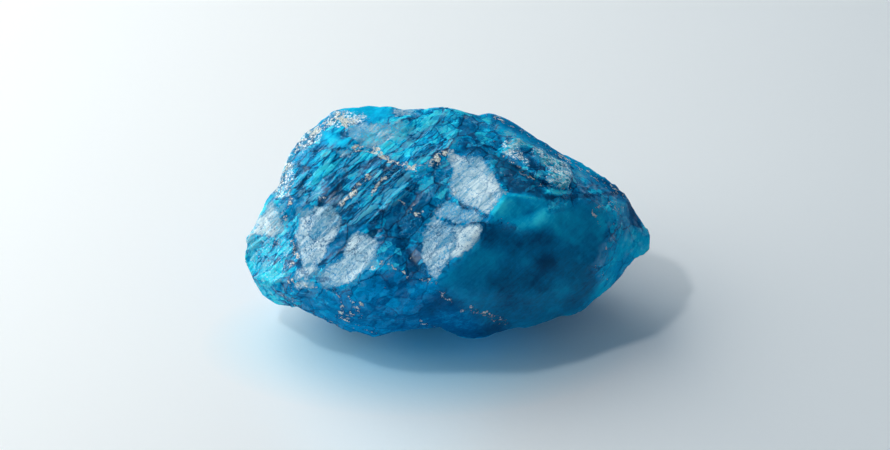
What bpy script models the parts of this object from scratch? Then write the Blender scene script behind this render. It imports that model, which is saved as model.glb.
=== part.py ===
"""A rough blue apatite crystal: one broken piece, modelled as one closed solid.

Row frame: +Z up, X along the stone's length, origin under the middle of its box, on the face it rests on.
The stone is laid out on a sketch plane that leans back. A sketch point is (across, up, out) in millimetres:
across is X, up runs up the leaning plane, and out stands off it, towards the front and above.
The front and back skins are stretched over named ridge points and joined round one outline. Flat cuts
slice the back, ledges and splits refine the skins, and relaxing smooths the faces but leaves the ridges
crisp. Steps, swells and chips come last.
"""

import math
import random

import bmesh
import bpy
from mathutils import Matrix, Vector, geometry, kdtree, noise

MM = 0.001
LEAN_DEG = 40.0  # elevation of the sketch plane's normal above the horizon

# How finely the faces are split.
FRONT_EDGE = 1.40  # mm, length past which an edge of the front is split
BACK_EDGE = 2.30  # mm, the same for the back and the underside
SPLIT_PASSES = 3
COARSE_SPLITS = (6.0, 3.0, 2.0)  # the lengths above, times these, before the ledges are scored
FINE_SPLITS = (1.4, 1.0)  # and after that
RIDGE_ANGLE_DEG = 24.0  # a fold sharper than this is a ridge and keeps its edge
RELAX_ROUNDS = 7
RELAX_FACE = 0.5  # how far a point within a face moves towards its neighbours' middle
RELAX_RIDGE = 0.12  # the same for a ridge point, along its ridge

# The resting face.
FOOT_Z = -9.2  # mm, height of the rough underside from the sketch's centre
FOOT_TRIM = 0.2  # mm, taken off the underside to leave one flat face

# Steps broken into the faces.
STEP_SHARE = 0.14  # share of a tread's width that its drop takes
STEP_SNAP = 0.05  # mm, a step's line goes through points this near
LEDGE_WANDER = 0.8  # mm that a ledge line strays
WANDER_WIDTH = 3.4  # mm
RISE_MEAN = 0.7  # a step's rise along most of its length, as a share of the full one
RISE_SPREAD = 1.6  # how unevenly the rise is spread along it
RISE_WIDTH = 2.7  # mm
LEDGE_FADE = 3.0  # the steps fade out over the outer third of a ledge's reach

# The broad unevenness of every face.
SWELL = 0.16  # mm
SWELL_WIDTH = 4.2  # mm

# Chips off the standing ridges.
CHIP_SEED = 11
CHIPS = 90  # at most
CHIP_DEPTH = (0.06, 0.30)  # mm that a chip takes off a ridge
CHIP_REACH = (0.9, 2.2)  # mm
CHIP_MIN_FOLD = 0.9  # radians of fold round a point before a chip is taken off it
CHIP_TILT = 0.3  # how far a chip's face leans off the point's normal
CHIP_OVERHANG = 1.6  # a chip is skipped where the stone stands this many times deeper beyond its plane

# The outline, clockwise from the left tip: where the front skin meets the back skin.
OUTLINE = [
    # left end
    (-20.2, -3.1, 1.8), (-19.9, -1.6, 1.6), (-19.1, 0.2, 1.8), (-17.7, 2.7, 2.2), (-16.6, 3.9, 1.6),
    # upper left shoulder
    (-16.2, 5.7, 1.2), (-15.4, 7.3, 0.9), (-14.7, 8.5, 0.4), (-14.0, 9.4, 0.1), (-12.7, 10.1, 0.2),
    (-11.9, 10.9, 0.0), (-10.9, 11.6, -0.2),
    # crown
    (-7.6, 11.9, 0.3), (-5.5, 11.9, 0.8), (-4.6, 11.6, 1.3), (-2.1, 11.7, 1.7), (-0.1, 11.7, 1.8),
    (2.6, 11.4, 1.2), (3.4, 11.2, 0.5),
    # rim of the right shoulder
    (4.5, 11.4, -0.4), (5.8, 11.0, -0.8), (9.0, 9.0, -0.5), (11.2, 7.4, -0.5), (13.5, 6.3, -0.6),
    (15.7, 5.0, -1.0), (17.4, 3.9, -1.2), (18.7, 2.7, -1.0),
    # right end
    (19.1, 1.3, -0.6), (19.9, 0.1, -0.5), (20.6, -0.8, -0.5), (20.7, -2.3, -0.2), (19.8, -3.1, 0.4),
    (18.6, -4.0, 0.8), (16.9, -5.8, 1.4), (14.7, -8.0, 1.9), (13.3, -8.8, 2.2),
    # right lobe
    (9.9, -9.8, 2.9), (6.3, -10.6, 3.2), (4.0, -11.3, 3.0), (2.6, -11.5, 3.0), (1.3, -11.2, 3.2),
    (-0.7, -10.2, 4.6),
    # left lobe
    (-3.7, -10.6, 3.9), (-6.0, -11.2, 3.2), (-7.1, -11.4, 3.0), (-8.7, -11.0, 3.1), (-11.8, -9.8, 3.0),
    (-14.6, -8.1, 3.0),
    # the small chip under the left end
    (-16.8, -8.0, 1.0), (-18.2, -7.0, 0.6), (-18.9, -5.9, 1.0), (-19.5, -4.5, 1.6),
]

# Points of the front skin.
FRONT = {
    # crown, a nearly level face on top
    "crown_nw": (-9.6, 9.6, 3.0), "crown_n": (-5.1, 10.6, 3.1), "crown_ne": (1.5, 10.5, 3.2),
    "crown_e": (0.7, 7.8, 6.3), "crown_s": (-2.1, 5.9, 8.0), "crown_sw": (-6.0, 6.8, 6.3),
    "crown_w": (-9.0, 7.7, 4.9), "glow": (-11.6, 8.4, 3.0), "shoulder": (-12.3, 9.4, 1.7),
    # dark slope right of the crown
    "slope_s": (2.6, 8.0, 6.0), "slope_e": (5.1, 7.7, 5.2), "slope_ne": (5.5, 9.1, 3.3),
    "rim1": (4.3, 10.3, 2.0), "rim2": (6.6, 9.5, 2.1), "rim3": (9.1, 7.8, 2.5), "rim4": (12.6, 5.5, 2.2),
    "rim5": (15.7, 3.8, 1.0), "rim6": (17.7, 2.7, 0.6),
    # striated slope, upper left
    "strake_nw": (-14.1, 7.2, 2.2), "strake_w": (-14.4, 4.2, 4.3), "strake_sw": (-14.0, 2.1, 5.8),
    "strake_s": (-10.1, 1.4, 8.1), "strake_se": (-7.6, 0.5, 9.5), "strake_e": (-4.3, 2.5, 9.3),
    "strake_ne": (-2.4, 4.2, 8.5), "saddle": (0.0, 5.5, 7.4),
    # the bright middle crest, two faces one above the other
    "crest_w1": (0.4, 2.7, 9.1), "crest_w2": (-1.0, 1.0, 9.7), "crest_w3": (-2.2, -1.5, 10.3),
    "crest_w4": (-2.5, -4.3, 11.1), "crest_foot": (-1.5, -5.9, 11.8), "crest_foot2": (-0.3, -5.7, 12.2),
    "crest_e1": (4.4, 6.3, 8.2), "crest_e2": (6.3, 3.1, 11.1), "crest_e3": (4.7, 0.9, 12.2),
    "crest_e4": (3.8, -0.1, 12.4), "crest_e5": (2.6, -2.3, 12.7),
    "crest_mid": (1.9, 1.5, 10.9),
    # the hollow between the striated slope and the middle crest
    "hollow_n": (-3.7, 1.3, 9.1), "hollow": (-4.6, -0.5, 9.5), "hollow_s": (-3.4, -3.0, 10.4),
    # slope under the plates, and the scoop below it
    "bench_n": (6.0, 6.3, 6.9), "bench_e": (11.2, 2.7, 8.6), "bench": (8.0, 4.2, 8.9),
    "scoop_ne": (10.9, 2.2, 9.0), "scoop_e": (11.3, 1.2, 9.3), "scoop_se": (9.9, 0.2, 9.9),
    "scoop_s": (7.6, -0.3, 11.1), "scoop_sw": (5.4, 0.3, 12.0), "scoop": (8.2, 1.2, 9.7),
    # frosted plates, their tops and the foot of their step
    "plate_nw": (5.9, 8.3, 5.0), "plate_n": (7.9, 8.0, 4.8), "plate_ne": (10.4, 6.7, 4.9),
    "plate_e": (12.4, 5.1, 5.3), "plate_se": (12.0, 3.9, 7.2), "plate_s": (10.3, 4.2, 8.4),
    "plate_sw": (8.0, 5.5, 7.8), "plate_w": (6.3, 7.2, 6.3),
    "plate_foot_se": (12.1, 3.5, 6.8), "plate_foot_s": (10.4, 3.7, 7.7), "plate_foot_sw": (8.0, 5.0, 7.3),
    "plate_foot_e": (12.8, 4.9, 4.4),
    # the large smooth front face and the lobe under it
    "face_ne": (14.5, 2.1, 6.9), "face_n": (12.6, 2.2, 7.9), "face_e": (15.1, 0.3, 6.8),
    "face_mid": (8.8, -3.4, 10.0), "face_low": (8.2, -6.8, 8.9), "face_sw": (3.0, -6.6, 11.2),
    "lobe_belly": (3.0, -9.2, 8.2), "lobe_east": (9.0, -8.6, 6.2), "notch": (-1.8, -7.9, 9.7),
    # right end
    "end_n": (17.4, 1.8, 3.6), "end_ridge1": (16.9, -0.4, 5.6), "end_ridge2": (15.4, -3.7, 6.6),
    "end_ridge3": (13.9, -6.3, 5.6), "end_face": (18.6, -1.6, 2.7),
    # left end
    "left_ridge1": (-15.5, 1.8, 5.0), "left_ridge2": (-15.8, -0.5, 5.5), "left_ridge3": (-14.8, -1.9, 6.7),
    "left_ridge4": (-14.7, -4.4, 7.7), "left_ridge5": (-15.5, -5.4, 6.9), "left_low": (-16.6, -5.8, 5.8),
    "left_chin": (-18.9, -5.4, 2.6), "left_chin2": (-16.6, -6.8, 4.7), "left_jaw": (-14.8, -6.9, 6.9),
    "cheek_se": (-12.8, -4.3, 8.8), "cheek_e": (-11.0, -2.0, 8.9),
    # left lobe
    "knee_n": (-7.9, -0.9, 9.7), "knee_ne": (-6.5, -2.0, 10.9), "knee_e": (-6.4, -4.1, 11.9),
    "knee_s": (-9.3, -5.9, 10.9), "knee_w": (-13.2, -6.2, 8.4), "blade1": (-4.9, -2.7, 11.3),
    "brow": (-4.2, -4.6, 12.0), "shin": (-6.2, -8.0, 10.6), "shin_w": (-10.4, -8.6, 8.2),
    "shin_e": (-3.3, -8.6, 9.4),
}

# Lines of the front skin that have to be edges of it.
FRONT_LINES = [
    ["shoulder", "crown_nw", "crown_n"], ["crown_nw", "crown_w", "crown_sw", "crown_s", "crown_e"],
    ["crown_e", "slope_s", "slope_e"], ["crown_e", "crown_ne"], ["crown_w", "glow", "shoulder"],
    ["rim1", "rim2", "rim3", "rim4", "rim5", "rim6"],
    ["strake_nw", "strake_w", "strake_sw", "strake_s", "strake_se", "strake_e", "strake_ne", "saddle"],
    ["crown_s", "saddle", "crown_e"], ["glow", "strake_nw"],
    ["saddle", "crest_w1", "crest_w2", "crest_w3", "crest_w4", "crest_foot"],
    ["slope_s", "crest_e1", "crest_e2", "crest_e3", "crest_e4", "crest_e5", "crest_foot2", "crest_foot"],
    ["strake_e", "hollow_n", "crest_w2"], ["crest_w2", "crest_mid", "crest_e3"],
    ["knee_n", "blade1", "crest_foot", "notch"], ["strake_se", "knee_n"],
    ["crest_e2", "scoop_ne", "scoop_e", "scoop_se", "scoop_s", "scoop_sw", "crest_e3"],
    ["bench_n", "bench", "bench_e", "face_n"], ["crest_e1", "bench_n"],
    ["plate_nw", "plate_n", "plate_ne", "plate_e", "plate_se", "plate_s", "plate_sw", "plate_w", "plate_nw"],
    ["plate_foot_e", "plate_foot_se", "plate_foot_s", "plate_foot_sw"],
    ["face_n", "face_ne", "end_n"], ["end_n", "end_ridge1", "end_ridge2", "end_ridge3"],
    ["face_ne", "face_e"],
    ["left_ridge1", "left_ridge2", "left_ridge3", "left_ridge4", "left_ridge5", "left_low"],
    ["left_chin", "left_chin2"], ["strake_sw", "left_ridge1"], ["left_ridge5", "left_jaw"],
    ["left_ridge4", "cheek_se", "cheek_e", "strake_s"], ["cheek_e", "knee_n"],
    ["knee_n", "knee_ne", "knee_e", "knee_s", "knee_w", "left_jaw"], ["cheek_se", "knee_w"],
    ["knee_e", "brow", "crest_foot"],
]

# Points of the back skin and the underside, in row axes (X, Y back, Z up) about the sketch's centre.
BACK = {
    "back_nw": (-13.0, 6.5, 4.6), "back_n1": (-7.5, 9.9, 6.2), "back_n2": (-1.0, 10.9, 5.0),
    "back_n3": (5.2, 9.6, 5.2), "back_ne": (10.6, 7.6, 2.9), "back_e": (15.4, 4.4, 0.8),
    "back_w": (-15.2, 5.6, -0.6), "back_mid1": (-8.2, 11.7, -0.8), "back_mid2": (0.0, 12.8, -1.8),
    "back_mid3": (7.2, 11.2, -1.6), "back_mid4": (13.2, 6.8, -3.2),
    "heel_w": (-12.2, 4.2, -6.2), "heel1": (-5.2, 8.4, -7.6), "heel2": (3.0, 8.6, -7.9),
    "heel_e": (9.4, 5.4, -7.2),
    "foot_sw": (-8.0, -3.0, FOOT_Z), "foot_s": (3.6, -4.2, FOOT_Z), "foot_e": (8.6, -1.4, FOOT_Z),
    "foot_ne": (5.0, 5.2, FOOT_Z), "foot_nw": (-3.4, 5.6, FOOT_Z), "foot_w": (-9.0, 1.2, FOOT_Z),
    "under_w": (-14.0, -1.0, -6.2), "under_w2": (-16.9, 1.6, -3.0), "under_e": (13.6, 0.2, -5.6),
    "under_e2": (17.2, 1.0, -3.2),
}

BACK_LINES = [
    ["foot_sw", "foot_s", "foot_e", "foot_ne", "foot_nw", "foot_w", "foot_sw"],
    ["back_nw", "back_n1", "back_n2", "back_n3", "back_ne", "back_e"],
    ["back_w", "back_mid1", "back_mid2", "back_mid3", "back_mid4"],
    ["heel_w", "heel1", "heel2", "heel_e"],
]


# Flat faces of the back and the underside: the direction each one faces and its distance from the centre.
BACK_FLATS = [
    ((0.04, 0.97, 0.22), 10.9), ((0.52, 0.82, -0.22), 11.6), ((-0.50, 0.80, -0.33), 11.6),
    ((0.16, 0.64, -0.75), 9.9), ((-0.28, 0.48, -0.83), 10.1), ((0.35, 0.05, -0.94), 10.6),
    ((-0.12, 0.88, -0.46), 11.0),
]

# Ledges where the stone broke in steps: middle, reach, direction the steps climb in, tread and rise.
FRONT_LEDGES = [
    ((-8.2, 4.6, 6.4), 7.4, (-0.64, 0.77, 0.0), 1.9, 0.30),  # strakes of the upper left slope
    ((-17.8, -2.0, 4.0), 4.2, (-0.64, 0.77, 0.0), 1.7, 0.16),  # left end
    ((13.6, 5.2, 1.4), 4.4, (0.47, 0.88, 0.0), 1.5, 0.24),  # behind the plates
    ((-2.0, 9.4, 4.0), 4.4, (-0.64, 0.77, 0.0), 2.3, 0.14),  # crown
]
BACK_LEDGES = [
    ((-9.0, 9.5, 3.5), 8.0, (0.30, 0.2, 0.94), 2.6, 0.42),
    ((10.0, 8.5, 0.0), 7.5, (-0.45, 0.2, 0.87), 2.4, 0.38),
    ((-15.0, 2.0, -2.5), 6.0, (0.7, 0.3, 0.64), 2.3, 0.34),
    ((4.0, 7.5, -7.0), 5.5, (0.9, 0.4, 0.0), 2.8, 0.34),
    ((14.0, 0.0, -4.0), 6.0, (0.6, 0.8, 0.2), 2.4, 0.34),
]


def sketch_to_row():
    """The matrix that turns a sketch point (across, up, out) into row axes."""
    lean = math.radians(LEAN_DEG)
    return Matrix(
        (
            (1.0, 0.0, 0.0),
            (0.0, math.sin(lean), -math.cos(lean)),
            (0.0, math.cos(lean), math.sin(lean)),
        )
    )


def skin(points, lines, ring_size):
    """Triangles over sketch points that start with the outline's ring, with the given lines as edges."""
    flat = [Vector(p[:2]) for p in points]
    ring = [(i, (i + 1) % ring_size) for i in range(ring_size)]
    found = geometry.delaunay_2d_cdt(flat, ring + lines, [], 1, 1e-4)
    corners = found[0]
    faces = found[2]
    origins = found[3]
    if len(corners) != len(points):
        raise ValueError("two ridge lines cross, or two points coincide")
    index = [o[0] for o in origins]
    return [[index[v] for v in f] for f in faces]


def named_edges(lines, names, offset):
    """Pairs of point numbers along each line of names."""
    number = {name: offset + i for i, name in enumerate(names)}
    return [(number[a], number[b]) for line in lines for a, b in zip(line, line[1:])]


def rough_cage(bm):
    """The coarse body: front skin and back skin over one outline."""
    turn = sketch_to_row()
    ring = [Vector(p) for p in OUTLINE]
    front = ring + [Vector(p) for p in FRONT.values()]
    back = ring + [turn.transposed() @ Vector(p) for p in BACK.values()]
    rim = [bm.verts.new(turn @ p) for p in ring]
    for points, lines, names, facing in (
        (front, FRONT_LINES, FRONT, 1),
        (back, BACK_LINES, BACK, -1),
    ):
        inner = [bm.verts.new(turn @ p) for p in points[len(ring):]]
        corners = rim + inner
        for face in skin(points, named_edges(lines, names, len(ring)), len(ring)):
            bm.faces.new([corners[i] for i in face[::facing]])
    bmesh.ops.recalc_face_normals(bm, faces=bm.faces)


def cut_flats(bm):
    """Slices the bulge of the back flat, and closes each slice with a flat face."""
    for facing, distance in BACK_FLATS:
        way = Vector(facing).normalized()
        everything = bm.verts[:] + bm.edges[:] + bm.faces[:]
        cut = bmesh.ops.bisect_plane(
            bm, geom=everything, dist=1e-4, plane_co=way * distance, plane_no=way, clear_outer=True
        )
        rim = [e for e in cut["geom_cut"] if isinstance(e, bmesh.types.BMEdge)]
        bmesh.ops.triangle_fill(bm, edges=rim, use_beauty=True, normal=way)
    bmesh.ops.recalc_face_normals(bm, faces=bm.faces)


def mark_ridges(bm):
    """Marks the folds of the cage that are sharp enough to stay ridges."""
    for edge in bm.edges:
        edge.smooth = edge.calc_face_angle(0.0) < math.radians(RIDGE_ANGLE_DEG)


def ledge_frames():
    """Every ledge in row axes: middle, reach, unit climb, tread and rise."""
    for ledges, turn in ((FRONT_LEDGES, sketch_to_row()), (BACK_LEDGES, Matrix.Identity(3))):
        for middle, reach, climb, tread, rise in ledges:
            yield turn @ Vector(middle), reach, (turn @ Vector(climb)).normalized(), tread, rise


def score_ledges(bm):
    """Draws the top and the foot of every step as edges, so that the steps come out crisp."""
    for centre, reach, climb, tread, _ in ledge_frames():
        count = int(reach / tread) + 1
        for step in range(-count, count):
            for offset in (0.0, STEP_SHARE):
                near = [f for f in bm.faces if (f.calc_center_median() - centre).length < reach]
                parts = {p for f in near for p in (*f.verts, *f.edges, f)}
                line = centre + climb * tread * (step + offset)
                cut = bmesh.ops.bisect_plane(
                    bm, geom=list(parts), dist=STEP_SNAP, plane_co=line, plane_no=climb
                )
                for part in cut["geom_cut"]:
                    if isinstance(part, bmesh.types.BMEdge):
                        part.smooth = False
    bmesh.ops.triangulate(bm, faces=bm.faces, quad_method="SHORT_EDGE", ngon_method="BEAUTY")


def raise_ledges(bm):
    """Lifts each tread from its foot to its lip, less towards the ledge's reach, and lets the lips stray."""
    bm.normal_update()
    moves = [Vector() for _ in bm.verts]
    bm.verts.index_update()
    for centre, reach, climb, tread, rise in ledge_frames():
        for v in bm.verts:
            away = (v.co - centre).length / reach
            if away >= 1.0:
                continue
            fade = min(1.0, LEDGE_FADE * (1.0 - away))
            place = ((v.co - centre).dot(climb) / tread) % 1.0
            if place < STEP_SHARE:
                lift = 0.5 - place / STEP_SHARE
            else:
                lift = (place - STEP_SHARE) / (1.0 - STEP_SHARE) - 0.5
            stray = LEDGE_WANDER * noise.noise(v.co / WANDER_WIDTH)
            strength = max(0.0, RISE_MEAN + RISE_SPREAD * noise.noise(v.co / RISE_WIDTH))
            moves[v.index] += v.normal * rise * strength * lift * fade
            moves[v.index] += (climb - v.normal * climb.dot(v.normal)) * stray * fade
    for v in bm.verts:
        v.co += moves[v.index]


def split_long_edges(bm, factors):
    """Halves long edges, pass after pass, and keeps the triangles well shaped; the back is left coarser."""
    to_sketch = sketch_to_row().transposed()
    for factor in factors:
        for _ in range(SPLIT_PASSES):
            long_edges = []
            for edge in bm.edges:
                middle = to_sketch @ ((edge.verts[0].co + edge.verts[1].co) / 2)
                limit = FRONT_EDGE if middle.z > 0.0 else BACK_EDGE
                if edge.calc_length() > limit * factor:
                    long_edges.append(edge)
            bmesh.ops.subdivide_edges(bm, edges=long_edges, cuts=1)
            bmesh.ops.triangulate(bm, faces=bm.faces, quad_method="SHORT_EDGE", ngon_method="BEAUTY")
        inner = [e for e in bm.edges if e.smooth]
        bmesh.ops.beautify_fill(bm, faces=bm.faces, edges=inner, method="ANGLE")


def relax(bm):
    """Moves each point towards its neighbours' middle, and a ridge point only a little, along its ridge."""
    for _ in range(RELAX_ROUNDS):
        moved = []
        for v in bm.verts:
            ridge = [e.other_vert(v).co for e in v.link_edges if not e.smooth]
            if not ridge:
                around = [e.other_vert(v).co for e in v.link_edges]
                share = RELAX_FACE
            elif len(ridge) == 2:
                around = ridge
                share = RELAX_RIDGE
            else:
                around = [v.co]
                share = 0.0
            middle = sum(around, Vector()) / len(around)
            moved.append(v.co.lerp(middle, share))
        for v, place in zip(bm.verts, moved):
            v.co = place


def swell_faces(bm):
    """Adds the broad, shallow unevenness of broken mineral."""
    bm.normal_update()
    for v in bm.verts:
        v.co += v.normal * SWELL * noise.noise(v.co / SWELL_WIDTH)


def chip_ridges(bm):
    """Takes small flat chips off the standing ridges: points beyond a chip's plane are dropped onto it."""
    bm.normal_update()
    bm.verts.ensure_lookup_table()
    places = kdtree.KDTree(len(bm.verts))
    for v in bm.verts:
        places.insert(v.co, v.index)
    places.balance()
    draw = random.Random(CHIP_SEED)
    standing = []
    for v in bm.verts:
        fold = sum(e.calc_face_angle_signed(0.0) for e in v.link_edges)
        if fold > CHIP_MIN_FOLD:
            standing.append(v)
    chipped = []
    for v in draw.sample(standing, len(standing)):
        tilt = Vector([draw.uniform(-CHIP_TILT, CHIP_TILT) for _ in range(3)])
        facing = (v.normal + tilt).normalized()
        reach = draw.uniform(*CHIP_REACH)
        depth = draw.uniform(*CHIP_DEPTH)
        if any((v.co - old).length < reach + CHIP_REACH[0] for old in chipped):
            continue
        near = [bm.verts[found[1]] for found in places.find_range(v.co, reach)]
        heights = [(other.co - v.co).dot(facing) + depth for other in near]
        if max(heights) > depth * CHIP_OVERHANG:
            continue
        chipped.append(v.co.copy())
        for other, height in zip(near, heights):
            other.co -= facing * max(0.0, height)
        if len(chipped) == CHIPS:
            break


def set_down(bm):
    """Flattens the resting face and puts the origin under the middle of the stone's box."""
    for v in bm.verts:
        v.co.z = max(v.co.z, FOOT_Z + FOOT_TRIM)
    corners = [[v.co[axis] for v in bm.verts] for axis in range(3)]
    middle = [(min(c) + max(c)) / 2 for c in corners]
    bmesh.ops.translate(bm, verts=bm.verts, vec=(-middle[0], -middle[1], -min(corners[2])))


def stone():
    """The whole stone as a bmesh, in millimetres."""
    bm = bmesh.new()
    rough_cage(bm)
    cut_flats(bm)
    mark_ridges(bm)
    split_long_edges(bm, COARSE_SPLITS)
    score_ledges(bm)
    split_long_edges(bm, FINE_SPLITS)
    relax(bm)
    raise_ledges(bm)
    swell_faces(bm)
    chip_ridges(bm)
    set_down(bm)
    return bm


def apatite():
    """Deep blue, see-through, with a dull lustre."""
    material = bpy.data.materials.new("apatite_blue")
    material.use_nodes = True
    shader = material.node_tree.nodes["Principled BSDF"]
    shader.inputs["Base Color"].default_value = (0.02, 0.28, 0.48, 1.0)
    shader.inputs["Roughness"].default_value = 0.35
    shader.inputs["Metallic"].default_value = 0.0
    shader.inputs["IOR"].default_value = 1.63
    shader.inputs["Transmission Weight"].default_value = 0.9
    return material


def main():
    for old in list(bpy.data.objects):
        bpy.data.objects.remove(old)
    bm = stone()
    mesh = bpy.data.meshes.new("apatite_crystal")
    bm.to_mesh(mesh)
    bm.free()
    mesh.transform(Matrix.Scale(MM, 4))
    mesh.materials.append(apatite())
    body = bpy.data.objects.new("apatite_crystal", mesh)
    bpy.context.scene.collection.objects.link(body)


main()
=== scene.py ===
import math
import bpy
import numpy as np
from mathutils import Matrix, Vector


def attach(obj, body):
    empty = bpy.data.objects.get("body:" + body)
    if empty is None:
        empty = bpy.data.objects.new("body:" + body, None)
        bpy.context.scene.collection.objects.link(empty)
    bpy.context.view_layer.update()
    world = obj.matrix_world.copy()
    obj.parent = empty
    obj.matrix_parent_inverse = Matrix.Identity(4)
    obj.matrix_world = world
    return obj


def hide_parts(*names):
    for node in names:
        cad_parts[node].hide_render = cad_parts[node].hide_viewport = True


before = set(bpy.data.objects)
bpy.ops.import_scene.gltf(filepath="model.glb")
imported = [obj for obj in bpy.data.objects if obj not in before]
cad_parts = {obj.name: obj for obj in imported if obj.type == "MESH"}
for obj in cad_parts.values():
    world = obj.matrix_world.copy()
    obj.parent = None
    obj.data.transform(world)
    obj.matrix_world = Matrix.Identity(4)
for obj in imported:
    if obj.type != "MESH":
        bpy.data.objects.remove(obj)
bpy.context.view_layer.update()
print("frame loaded")


def hexColor(code):
    # sRGB hex to linear: below 0.04045 a straight line, above it a power of 2.4
    parts = [int(code[i:i + 2], 16) / 255 for i in (1, 3, 5)]
    return tuple(c / 12.92 if c <= 0.04045 else ((c + 0.055) / 1.055) ** 2.4 for c in parts) + (1.0,)


def addNode(tree, kind, settings=None, links=None):
    # settings: attribute or input name to value, links: input name or number to an output socket
    node = tree.nodes.new(kind)
    for name, value in (settings or {}).items():
        if isinstance(name, str) and hasattr(node, name):
            setattr(node, name, value)
        else:
            node.inputs[name].default_value = value
    for name, socket in (links or {}).items():
        tree.links.new(socket, node.inputs[name])
    return node


def smooth(low, high, x):
    # 0 below low, 1 above high, 3t^2 - 2t^3 between them
    t = np.clip((x - low) / (high - low), 0.0, 1.0)
    return t * t * (3.0 - 2.0 * t)


def cellRandom(cells, seed, count):
    # whole-number cells to count random numbers each, 0 to 1, by mixing bits
    c = cells.astype(np.int64)
    h = (c[:, 0] * 73856093) ^ (c[:, 1] * 19349663) ^ (c[:, 2] * 83492791) ^ (seed * 2654435761)
    values = []
    for k in range(count):
        g = (h + (k + 1) * 0x9E3779B1) & 0xFFFFFFFF
        g = ((g ^ (g >> 16)) * 0x7FEB352D) & 0xFFFFFFFF
        g = ((g ^ (g >> 15)) * 0x846CA68B) & 0xFFFFFFFF
        values.append((g ^ (g >> 16)) / 4294967296.0)
    return np.stack(values, 1)


def valueNoise(p, seed):
    # random numbers at whole-number corners, blended by 3t^2 - 2t^3 along each axis, about -1 to 1
    base = np.floor(p)
    t = p - base
    t = t * t * (3.0 - 2.0 * t)
    total = np.zeros(len(p))
    for dx in (0, 1):
        for dy in (0, 1):
            for dz in (0, 1):
                corner = cellRandom(base + (dx, dy, dz), seed, 1)[:, 0]
                near = np.where((dx, dy, dz), t, 1 - t)
                total += corner * near.prod(1)
    return total * 2.0 - 1.0


def rough(p, seed, octaves):
    # noise at one size plus half as much at half that size, and so on
    return sum(valueNoise(p * 2 ** k + 17.3 * k, seed + k) * 0.5 ** k for k in range(octaves))


def brokenCells(p, seed):
    # nearest of the jittered cell points: the offset from it and its random numbers
    base = np.floor(p)
    best = np.full(len(p), 9.0)
    offset = np.zeros_like(p)
    values = np.zeros((len(p), 4))
    for dx in (-1, 0, 1):
        for dy in (-1, 0, 1):
            for dz in (-1, 0, 1):
                cell = base + (dx, dy, dz)
                draw = cellRandom(cell, seed, 7)
                away = p - (cell + 0.15 + 0.7 * draw[:, :3])
                far = np.sqrt((away ** 2).sum(1))
                nearer = far < best
                best = np.where(nearer, far, best)
                offset[nearer] = away[nearer]
                values[nearer] = draw[nearer, 3:]
    return offset, values


layout = {
    "leanDeg": 40.0,  # the sketch plane's normal stands this far above the horizon
    "centre": (-0.3786, 0.6783, 9.0),  # mm, the sketch's centre in the frame
}


def sketchAxes():
    # rows: across, up the leaning plane, out of it
    lean = math.radians(layout["leanDeg"])
    return np.array([[1, 0, 0], [0, math.sin(lean), math.cos(lean)], [0, -math.cos(lean), math.sin(lean)]])


stone = {
    "lattice": 5,  # each solid face becomes 25 small ones
    "softenRounds": 3,
    "rubRounds": 26, "rubShare": 0.6,  # on the smooth faces
    "ridgeKeep": 0.16,  # smaller keeps the ridges crisper
    "ridgeRounds": 12, "edgeRounds": 3,  # how wide a surrounding a ridge and a fine edge stand out from
    # borders of places: softness, swing and corners in mm, and the corners' size
    "sharpBorder": 0.35, "softBorder": 0.9,
    "swing": 0.16, "corner": 0.32, "swingSize": 1.3, "cornerSize": 1.1,
    "creaseReach": 0.6,  # mm
    # relief, in mm
    "facetWide": 2.3, "facetWideLift": 0.242,
    "facetFine": 0.85, "facetFineLift": 0.099,
    "strakeSpacing": 1.05, "strakeLift": 0.13, "strakeDrop": 0.8,  # share of a step that climbs
    "growth": (0.743, 0.669),  # cosine and sine of its direction on the leaning plane, 42 degrees
    "grainSize": 0.42, "grainLift": 0.028,
    "plateLift": 0.135, "plateGrain": 0.55, "plateGrainLift": 0.09,
    "rippleSpacing": 1.35, "rippleLift": 0.07, "rippleFrom": (-9.0, 14.0, 4.0),
    # the hidden sides: size of the large faces in mm, and up to which draw each is smooth, pale with painted
    # sheen, or striated
    "faceWide": 8.0, "smoothLots": 0.42, "paleLots": 0.60, "streakLots": 0.86, "paleSheen": 0.64,
    "tone": 0.46, "toneDrift": 0.12,  # 0 deepest, 1 lightest; the light tones are painted light, where thin edges let light through
}


def latticeMesh(corners, faces, k):
    # each face gets points (i a + j b + l c) / k with i + j + l = k, and k^2 triangles between them
    ij = np.array([(i, j) for i in range(k + 1) for j in range(k + 1 - i)])
    number = {tuple(p): n for n, p in enumerate(ij)}
    weights = np.stack([k - ij[:, 0] - ij[:, 1], ij[:, 0], ij[:, 1]], 1) / k
    small = []
    for i, j in number:
        if i + j < k:
            small.append((number[i, j], number[i + 1, j], number[i, j + 1]))
        if i + j < k - 1:
            small.append((number[i + 1, j], number[i + 1, j + 1], number[i, j + 1]))
    small = np.array(small)
    points = np.einsum("wc,fcx->fwx", weights, corners[faces]).reshape(-1, 3)
    tris = (small[None] + (np.arange(len(faces)) * len(ij))[:, None, None]).reshape(-1, 3)
    return weld(points, tris)


def weld(points, tris):
    # points in the same cell of a 0.0001 mm grid become one
    keys = np.round(points * 1e4).astype(np.int64)
    _, first, index = np.unique(keys, axis=0, return_index=True, return_inverse=True)
    tris = index.reshape(-1)[tris]
    keep = (tris[:, 0] != tris[:, 1]) & (tris[:, 1] != tris[:, 2]) & (tris[:, 0] != tris[:, 2])
    return points[first], tris[keep]


def edgesOf(tris):
    # each side of the triangles once, as a pair of points
    pairs = np.sort(np.concatenate([tris[:, [0, 1]], tris[:, [1, 2]], tris[:, [2, 0]]]), 1)
    return np.unique(pairs, axis=0)


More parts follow.
